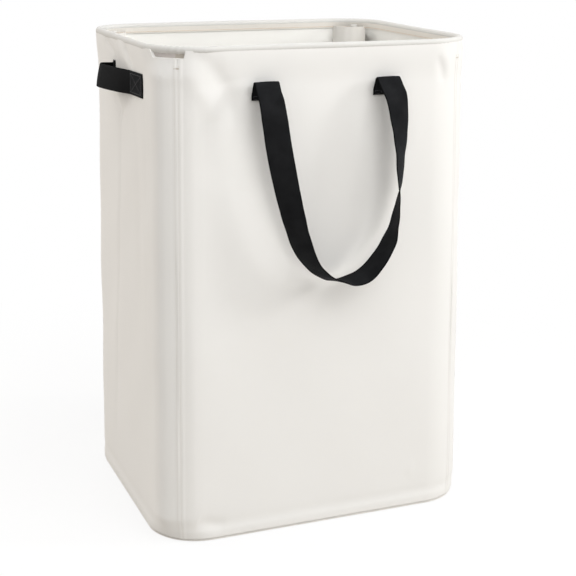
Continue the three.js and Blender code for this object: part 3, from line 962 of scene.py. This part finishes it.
def makeSleeve(corner):
    # Centred on the corner's seam, it stands off the wall as the root of a sine, just round the rod.
    look = rodLook
    name = cornerNames[corner]
    first = seamTurn(corner) - look["sleeveShare"] / 2
    turn, rise = np.meshgrid(first + np.linspace(0, look["sleeveShare"], 60), np.linspace(0, 1, 90))
    angle = np.pi * (turn - first) / look["sleeveShare"]
    tent = 1.1 * np.sqrt(np.clip(np.sin(angle), 0, 1)) * smooth(np.sin(angle), -0.05, 0.12)
    z = mix(look["bottom"], look["top"], rise)
    rod = onWall(2 * corner + 0.5, hamper["wireHeight"], -look["setIn"])
    wall = onWall(np.full(z.shape, 2 * corner + 0.5), z, 0.0)
    away = np.hypot(wall[..., 0] - rod[0], wall[..., 1] - rod[1])
    sewn = hamper["cloth"] / 2 + 0.0003
    depth = away + look["capRadius"] + look["slack"] - sewn
    creases = look["creases"] * np.sin(2 * angle) * np.sin(31 * z + 3 * angle + corner) * np.sin(angle)
    offset = -sewn - depth * tent + creases
    outer, inner = onWall(turn, z, offset), onWall(turn, z, offset - look["cloth"])
    piece = sheetPiece(f"{name}_sleeve_cloth", outer, inner, np.stack([metresAt(turn), z], -1))
    settle(paint(piece, lining), "base", [f"{name}_rod_sleeve"])
    lines = []
    height = np.linspace(*look["rowEnds"], 300)
    row = np.full(300, -hamper["cloth"] / 2 - 0.0001)
    for edge in (-look["sewnAway"], look["sleeveShare"] + look["sewnAway"]):
        at = np.full(300, first + edge)
        path = onWall(at, height, row)
        normals = unit(path - onWall(at, height, row + 0.01))
        lines.append(stitchLine(path, normals, look["pitch"], look["stitch"]))
    makeStitches(f"{name}_sleeve_stitches", lines, look["thread"], paleThread, "base")
    return piece


def splinePoints(knots, steps, spread=0.5):
    # A centripetal Catmull-Rom curve through the knots, evaluated at even shares of its spans.
    knots = np.asarray(knots, float)
    first, last = 2 * knots[0] - knots[1], 2 * knots[-1] - knots[-2]
    k = np.concatenate([[first], knots, [last]])
    spans = len(knots) - 1
    place = np.linspace(0, spans, steps + 1)
    i = np.minimum(place.astype(int), spans - 1)
    t = (place - i)[:, None]
    p0, p1, p2, p3 = (k[i + j] for j in range(4))
    d = [np.maximum(np.linalg.norm(b - a, axis=1, keepdims=True) ** spread, 1e-6)
         for a, b in ((p0, p1), (p1, p2), (p2, p3))]
    m1 = ((p1 - p0) / d[0] - (p2 - p0) / (d[0] + d[1]) + (p2 - p1) / d[1]) * d[1]
    m2 = ((p2 - p1) / d[1] - (p3 - p1) / (d[1] + d[2]) + (p3 - p2) / d[2]) * d[1]
    a = 2 * p1 - 2 * p2 + m1 + m2
    b = -3 * p1 + 3 * p2 - 2 * m1 - m2
    return a * t ** 3 + b * t ** 2 + m1 * t + p1


bandLook = dict(round=26, selvedge=0.16, selvedgePlace=(0.93, 0.045), uvHalf=0.016)


def bandColumns(count):
    # Places across a band from -1 to 1, close together at its round edges.
    return np.concatenate([[-1, -0.985, -0.955], np.linspace(-0.92, 0.92, count), [0.955, 0.985, 1]])


def bandHalf(s, thick, selvedge):
    # Half the thickness: full across the face, a little more at the selvedges, round at the ends.
    body = thick / 2 * np.sqrt(np.clip(1 - np.abs(s) ** bandLook["round"], 0.02, 1))
    return body * (1 + selvedge * bell(np.abs(s), *bandLook["selvedgePlace"]))


def bandUv(s, run):
    return np.stack(np.broadcast_arrays(s[None] * bandLook["uvHalf"], run), -1)


def bandGrids(path, looks, width, thick, cup=0.0, ripple=0.0, seed=1, level=0.0):
    # A band of webbing along a path. Across it, the face is a shallow arch and the edges are round;
    # along it, slow ripples lift one edge and then the other. level turns its width towards the X
    # axis: 1 keeps it there.
    path, looks = np.asarray(path), np.asarray(looks)
    ahead = unit(np.gradient(path, axis=0))
    across = unit(np.cross(ahead, looks))
    straight = np.sign(across[:, :1]) * np.array([1.0, 0.0, 0.0])
    across = unit(mix(across, straight, np.reshape(level, (-1, 1))))
    face = unit(np.cross(across, ahead))
    run = runAlong(path)
    s = bandColumns(19)
    half = bandHalf(s, thick, bandLook["selvedge"])
    rng = np.random.default_rng(seed)
    lift = cup * (1 - s[None] ** 2) * np.ones((len(path), 1))
    ends = np.sin(np.pi * np.linspace(0, 1, len(path)))[:, None] ** 0.5
    for _ in range(4):
        rate, start = rng.uniform(14, 42), rng.uniform(0, 6.3)
        lift = lift + ripple * np.sin(2 * math.pi * rate * run[:, None] + start + 1.8 * s[None]) * ends
    sideways = 0.0002 * np.sin(2 * math.pi * 9 * run + seed)[:, None] * ends * (ripple > 0)
    centre = path[:, None] + across[:, None] * (s[None, :, None] * width / 2 + sideways[..., None])
    centre = centre + face[:, None] * lift[..., None]
    outer = centre + face[:, None] * half[None, :, None]
    inner = centre - face[:, None] * half[None, :, None]
    return outer, inner, bandUv(s, run[:, None])


strapLook = dict(
    width=0.032,
    thick=0.0015,
    halfSpacing=0.0813,
    offCentre=-0.0012,
    drop=0.2495,
    reach=0.0234,
    foldHeight=0.5928,
    axisPlace=0.188265,
    foldRadius=0.0031,
    tabLength=0.0196,
    tabSewn=0.006,
    tabEnd=58,
    cup=0.0004,
    ripple=0.00022,
    steps=520,
    twistRound=21,
    boxHalf=0.0135,
    thread=0.0003,
    # Share of the half spacing, of the drop and of the reach, and the turn in quarter turns.
    route=[
        (-1, 0.03, 0.35, 0), (-0.99, 0.068, 0.62, 0.05), (-0.95, 0.17, 0.8, 0.1),
        (-0.885, 0.31, 0.86, 0.15), (-0.733, 0.56, 0.94, 0.45), (-0.532, 0.788, 1, 0.58),
        (-0.405, 0.875, 1, 0.72), (-0.262, 0.932, 1, 0.77), (-0.071, 0.977, 1, 0.82),
        (0.061, 0.991, 1, 0.86), (0.3, 1, 1, 1.1), (0.538, 0.979, 1, 1.24),
        (0.805, 0.89, 1, 1.15), (0.965, 0.799, 1, 1.06), (1.035, 0.72, 1, 0.94),
        (1.09, 0.607, 1, 0.79), (1.12, 0.529, 0.96, 0.64), (1.118, 0.415, 0.94, 0.52),
        (1.122, 0.311, 0.87, 0.41), (1.11, 0.222, 0.8, 0.29), (1.064, 0.082, 0.62, 0.15),
        (1.024, 0.03, 0.35, 0),
    ],
)


def strapPath():
    # The band goes on where the tab's curl ends, over the fold, down the route and up again. At
    # the folds its face looks away from the fold's middle.
    look = strapLook
    rows = np.array(look["route"])
    knots = np.stack([
        look["offCentre"] + rows[:, 0] * look["halfSpacing"],
        -look["axisPlace"] - rows[:, 2] * look["reach"],
        look["foldHeight"] - rows[:, 1] * look["drop"],
    ], 1)
    wrap = np.radians([look["tabEnd"] + 4, 80, 104, 128])
    curl = look["foldRadius"] * np.array([1, 0.98, 0.95, 0.92])
    ends = []
    for side in (-1, 1):
        x = look["offCentre"] + side * look["halfSpacing"]
        middle = np.array([x, -look["axisPlace"], look["foldHeight"]])
        ends.append(middle + np.stack([0 * wrap, curl * np.cos(wrap), curl * np.sin(wrap)], 1))
    knots = np.concatenate([ends[0], knots, ends[1][::-1]])
    turns = np.concatenate([[0] * 4, rows[:, 3], [0] * 4])
    path = splinePoints(knots, look["steps"])
    place = np.linspace(0, len(knots) - 1, look["steps"] + 1)
    # The twist runs from knot to knot in straight lines, rounded by a moving mean.
    weights = np.hanning(2 * look["twistRound"] + 1)
    turn = np.pad(np.interp(place, np.arange(len(knots)), turns), look["twistRound"], mode="edge")
    turn = np.convolve(turn, weights / weights.sum(), "valid") * math.pi / 2
    ahead = unit(np.gradient(path, axis=0))
    outward = unit(np.stack([ahead[:, 2], 0 * turn, -ahead[:, 0]], 1))
    looks = np.cos(turn)[:, None] * np.array([0.0, -1.0, 0.0]) + np.sin(turn)[:, None] * outward
    middle = np.array([0.0, -look["axisPlace"], look["foldHeight"]])
    roundFold = unit((path - middle) * [0, 1, 1])
    fromEnd = np.minimum(place, len(knots) - 1 - place)
    looks = unit(mix(looks, roundFold, (1 - smooth(fromEnd, 3.0, 5.0))[:, None]))
    return path, looks, 1 - smooth(fromEnd, 4.0, 6.0)


def makeStrap(name, turned):
    look = strapLook
    path, looks, level = strapPath()
    seed = 5 if turned else 3
    size = (look["width"], look["thick"], look["cup"], look["ripple"])
    grids = bandGrids(path, looks, *size, seed, level)
    piece = sheetPiece(f"{name}_strap_band", *grids, turned)
    return settle(paint(piece, webbing), f"{name}_strap", [f"{name}_strap_loop"])


def sewBox(name, lines, turned):
    # The stitches of a box, carried to the far side where the piece is turned.
    lines = [tuple(turnedRound(part, turned) for part in line) for line in lines]
    return makeStitches(name, lines, strapLook["thread"], blackThread, "rim")


def boxStitches(corner, across, upward, lift):
    # A square of stitches with a cross in it. corner, across and upward span the sewn part.
    corners = [(0, 0), (1, 0), (1, 1), (0, 1), (0, 0), (1, 1)]
    paths = [(corners[i], corners[i + 1]) for i in range(5)] + [((0, 1), (1, 0))]
    normal = unit(np.cross(across, upward))
    lines = []
    for (u0, v0), (u1, v1) in paths:
        share = np.linspace(0, 1, 24)[:, None]
        u, v = mix(u0, u1, share), mix(v0, v1, share)
        path = corner + across * u + upward * v + normal * lift
        lines.append(stitchLine(path, np.repeat(normal[None], 24, 0), 0.0026, 0.002))
    return lines


def makeStrapTab(name, side, turned):
    # Sewn to the wall at its foot, leaning out in a straight line that touches the fold's circle,
    # and curled over the top.
    look = strapLook
    x = look["offCentre"] + side * look["halfSpacing"]
    flat = 0.0017
    bottom = look["foldHeight"] - look["tabLength"]
    sewn = bottom + look["tabSewn"]
    foot = np.array([[x, -outline(z)[1] - flat, z] for z in (bottom, sewn)])
    inward, upward = foot[1, 1] + look["axisPlace"], sewn - look["foldHeight"]
    lean = math.sqrt(inward ** 2 + upward ** 2 - look["foldRadius"] ** 2)
    touch = math.atan2(upward, inward) - math.atan2(-lean, look["foldRadius"])
    angle = np.linspace(touch, math.radians(look["tabEnd"]), 14)
    curl = np.stack([
        np.full(14, x),
        -look["axisPlace"] + look["foldRadius"] * np.cos(angle),
        look["foldHeight"] + look["foldRadius"] * np.sin(angle),
    ], 1)
    share = np.linspace(0, 1, 12, endpoint=False)[:, None]
    path = np.concatenate([mix(foot[0], foot[1], share), mix(foot[1], curl[0], share), curl])
    out = np.array([0.0, -1.0, 0.0])
    leaning = np.array([0.0, -math.cos(touch), -math.sin(touch)])
    looks = np.concatenate([
        np.repeat(out[None], 12, 0),
        unit(mix(out, leaning, smooth(share, 0, 0.4))),
        np.stack([0 * angle, -np.cos(angle), -np.sin(angle)], 1),
    ])
    end = f"{name}_strap_{'left' if side < 0 else 'right'}"
    piece = sheetPiece(f"{end}_fold", *bandGrids(path, looks, look["width"], look["thick"]), turned)
    settle(paint(piece, webbing), "rim", [f"{end}_tab"])
    start = foot[0] + [-look["boxHalf"], -look["thick"] / 2, 0.001]
    across = np.array([2 * look["boxHalf"], 0, 0])
    lines = boxStitches(start, across, foot[1] - foot[0] - [0, 0, 0.0015], 0.0001)
    return sewBox(f"{end}_stitches", lines, turned)


handleLook = dict(
    width=0.030,
    top=0.602,
    thick=0.0015,
    reach=0.0184,
    flare=0.006,
    rear=0.034,
    front=-0.0617,
    patch=0.047,
    patchOut=0.0031,
    tail=0.008,
    tailRise=0.0035,
    offset=0.0017,
    bow=0.0008,
    boxEnds=(0.004, 0.043),
    boxInset=0.0035,
    route=[
        (0, 0), (-0.015, 0.4), (-0.025, 0.76), (0.02, 0.96), (0.12, 1),
        (0.33, 0.87), (0.56, 0.66), (0.76, 0.45), (0.9, 0.28), (1, 0.17),
    ],
)


def besideLeft(offset, y, z):
    # A point beside the left wall, at an offset from its middle surface.
    offset, y, z = np.broadcast_arrays(offset, y, z)
    return np.stack([-outline(z)[0] - offset, y, z], -1)


def flatStrip(y0, y1, z0, z1, offset, thick, seed, out):
    # A strip of webbing sewn on the left wall, running along Y and standing out where it starts.
    across = bandColumns(15)
    half = bandHalf(across, thick, 0)
    y = np.linspace(y0, y1, 40)[:, None]
    z = mix(z0, z1, (across + 1) / 2)[None]
    wave = 0.00012 * np.sin(300 * y + 9 * across[None] + seed) + out * (y - y1) / (y0 - y1)
    outer = besideLeft(offset + half[None] + wave, y, z)
    inner = besideLeft(offset - half[None] + wave, y, z)
    return outer, inner, bandUv(across, y - y0)


def makeHandle(name, turned):
    # The band's plan is a curve through the route, and its lower edge flares out along a half sine.
    look = handleLook
    bottom = look["top"] - look["width"]
    along, out = np.array(look["route"]).T
    knots = np.stack([out * look["reach"], mix(look["rear"], look["front"], along), 0 * along], 1)
    plan = splinePoints(knots, 150)
    ahead = unit(np.gradient(plan, axis=0))
    ahead[0], ahead[-1] = (1, 0, 0), (0, -1, 0)
    sideways = np.stack([ahead[:, 1], -ahead[:, 0]], 1)
    share = np.linspace(0, 1, len(plan))
    s = bandColumns(15)
    thick = bandHalf(s, look["thick"], bandLook["selvedge"])
    z = mix(bottom, look["top"], (s + 1) / 2)[None] + 0 * share[:, None]
    flare = look["flare"] * (1 - s[None]) / 2 * np.sin(np.pi * share)[:, None]
    bow = look["bow"] * (1 - s[None] ** 2) * np.sin(np.pi * share)[:, None]
    grids = []
    for sign in (-1, 1):
        out = plan[:, :1] + flare + bow + sign * thick[None] * sideways[:, :1]
        y = plan[:, 1:2] + sign * thick[None] * sideways[:, 1:2]
        grids.append(besideLeft(np.maximum(look["offset"] + out, 0.0009), y, z))
    uv = bandUv(s, runAlong(plan)[:, None])
    band = sheetPiece(f"{name}_handle_webbing", *grids, uv, turned)
    # The band gets the darkened webbing, painted shade.
    settle(paint(band, shadedHandleWebbing), f"{name}_handle", [f"{name}_handle_band"])
    front, rear = look["front"] - 0.0003, look["rear"] - 0.0011
    strips = (
        ("patch", front, front - look["patch"], look["top"], 2, look["patchOut"]),
        ("tail", rear, rear - look["tail"], look["top"] + look["tailRise"], 4, 0.0),
    )
    for part, first, last, high, seed, out in strips:
        strip = flatStrip(first, last, bottom, high, look["offset"], look["thick"], seed, out)
        piece = sheetPiece(f"{name}_handle_{part}", *strip, turned)
        # The sewn strips get the darkened webbing too, painted shade.
        settle(paint(piece, shadedHandleWebbing), "rim", [f"{name}_handle_sewn_{part}"])
    # The box of stitches lies on the patch, which comes back to the wall along its length.
    outside = look["offset"] + look["thick"] / 2 + look["patchOut"] * np.array([0.92, 0.09, 0.92])
    (near, far), inset = look["boxEnds"], look["boxInset"]
    start = besideLeft(outside[0], front - near, bottom + inset)
    across = besideLeft(outside[1], front - far, bottom + inset) - start
    upward = besideLeft(outside[2], front - near, look["top"] - inset) - start
    lines = [(a, b, -n if n[0][0] > 0 else n) for a, b, n in boxStitches(start, across, upward, 0.0001)]
    sewBox(f"{name}_handle_stitches", lines, turned)
    return band


makeCasing()
makeHemStitches()
say("rim")
for wall, name in enumerate(wallNames):
    makeWall(wall, name)
makeBottom()
for corner in range(4):
    makeSeamStitches(corner)
    makeTape(corner)
    makeSleeve(corner)
say("walls")
for name, turned in (("front", False), ("rear", True)):
    makeStrap(name, turned)
    for side in (-1, 1):
        makeStrapTab(name, side, turned)
for name, turned in (("left", False), ("right", True)):
    makeHandle(name, turned)
say("straps and handles")


def dressSolids():
    # The solids that stay get their finishes.
    looks = {"rim_wire": steel, "rim_ferrule": steel, "base_board": boardCloth}
    for name in cornerNames:
        looks[f"{name}_rod_tube"] = rodPlastic
        looks[f"{name}_rod_bottom_cap"] = looks[f"{name}_rod_top_cap"] = capPlastic
    for node, material in looks.items():
        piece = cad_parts[node]
        for slot in piece.material_slots:
            slot.material = material
        if not piece.material_slots:
            piece.data.materials.append(material)


dressSolids()


studio = dict(
    world=0.515,
    floor=dict(
        size=40.0,
        drop=0.0006,
        colour=(0.56, 0.525, 0.48, 1),
        white=(0.95, 0.95, 0.95, 1),
        glowFrom=(0.35, 0.8),
        glowTo=(1.0, 1.0),
    ),
    aim=(0, 0, 0.35),
    lamps=dict(
        key=dict(power=28.5, size=0.6, azimuth=66, elevation=19, distance=3.4),
        front=dict(power=33.0, size=3.4, azimuth=18, elevation=30, distance=3.6),
        left=dict(power=37.0, size=1.8, azimuth=-130, elevation=20, distance=3.4, colour=(1, 0.93, 0.86)),
        top=dict(power=10.0, size=1.8, azimuth=14, elevation=60, distance=1.5),
        rear=dict(power=22.0, size=2.4, azimuth=165, elevation=14, distance=3.6),
    ),
)


def makeFloor(look):
    # White to the camera and to mirrors, where an even glow takes over away from the hamper, so
    # that its shadow stays.
    corners = np.array([[-1, -1, 0], [1, -1, 0], [1, 1, 0], [-1, 1, 0]]) * look["size"]
    points = corners - [0, 0, look["drop"]]
    floor = makeMesh("studio_floor", points, np.array([[0, 1, 2, 3]]), np.zeros((4, 2)))
    n = newMaterial("floor")
    seen = n.seen()
    n.set({"Base Color": n.blend(seen, look["colour"], look["white"]), "Roughness": 0.9})
    away = n.add("ShaderNodeVectorMath", {"Vector": n.place()}, operation="LENGTH").outputs["Value"]
    (near, low), (far, high) = look["glowFrom"], look["glowTo"]
    share = n.calc("MULTIPLY", seen, n.ranged(away, near, far, low, high))
    glow = n.add("ShaderNodeEmission", {"Color": (1, 1, 1, 1), "Strength": 1.0}).outputs[0]
    both = n.add("ShaderNodeMixShader", {0: share, 1: n.shader.outputs[0], 2: glow}).outputs[0]
    n.put(n.tree.nodes["Material Output"], "Surface", both)
    paint(floor, n.owner)


def makeLamp(name, look):
    # A round soft light that faces the hamper.
    data = bpy.data.lights.new(name, "AREA")
    data.shape = "DISK"
    data.size = look["size"]
    data.energy = look["power"]
    data.color = look.get("colour", (1, 1, 1))
    lamp = bpy.data.objects.new(name, data)
    back = directionTo(look["azimuth"], look["elevation"])
    lamp.location = Vector(studio["aim"]) + back * look["distance"]
    lamp.rotation_mode = "QUATERNION"
    lamp.rotation_quaternion = back.to_track_quat("Z", "Y")
    bpy.context.scene.collection.objects.link(lamp)


def makeStudio():
    # The world lights the hamper at its own level and looks white by itself.
    scene = bpy.context.scene
    scene.view_settings.view_transform = "Standard"
    world = Nodes(bpy.data.worlds.new("studio"), "Background")
    level = world.ranged(world.seen(), 0, 1, studio["world"], 1.0)
    scene.world = world.set({"Color": (1, 1, 1, 1), "Strength": level})
    makeFloor(studio["floor"])
    for name, look in studio["lamps"].items():
        makeLamp(name, look)


makeStudio()
say("studio")
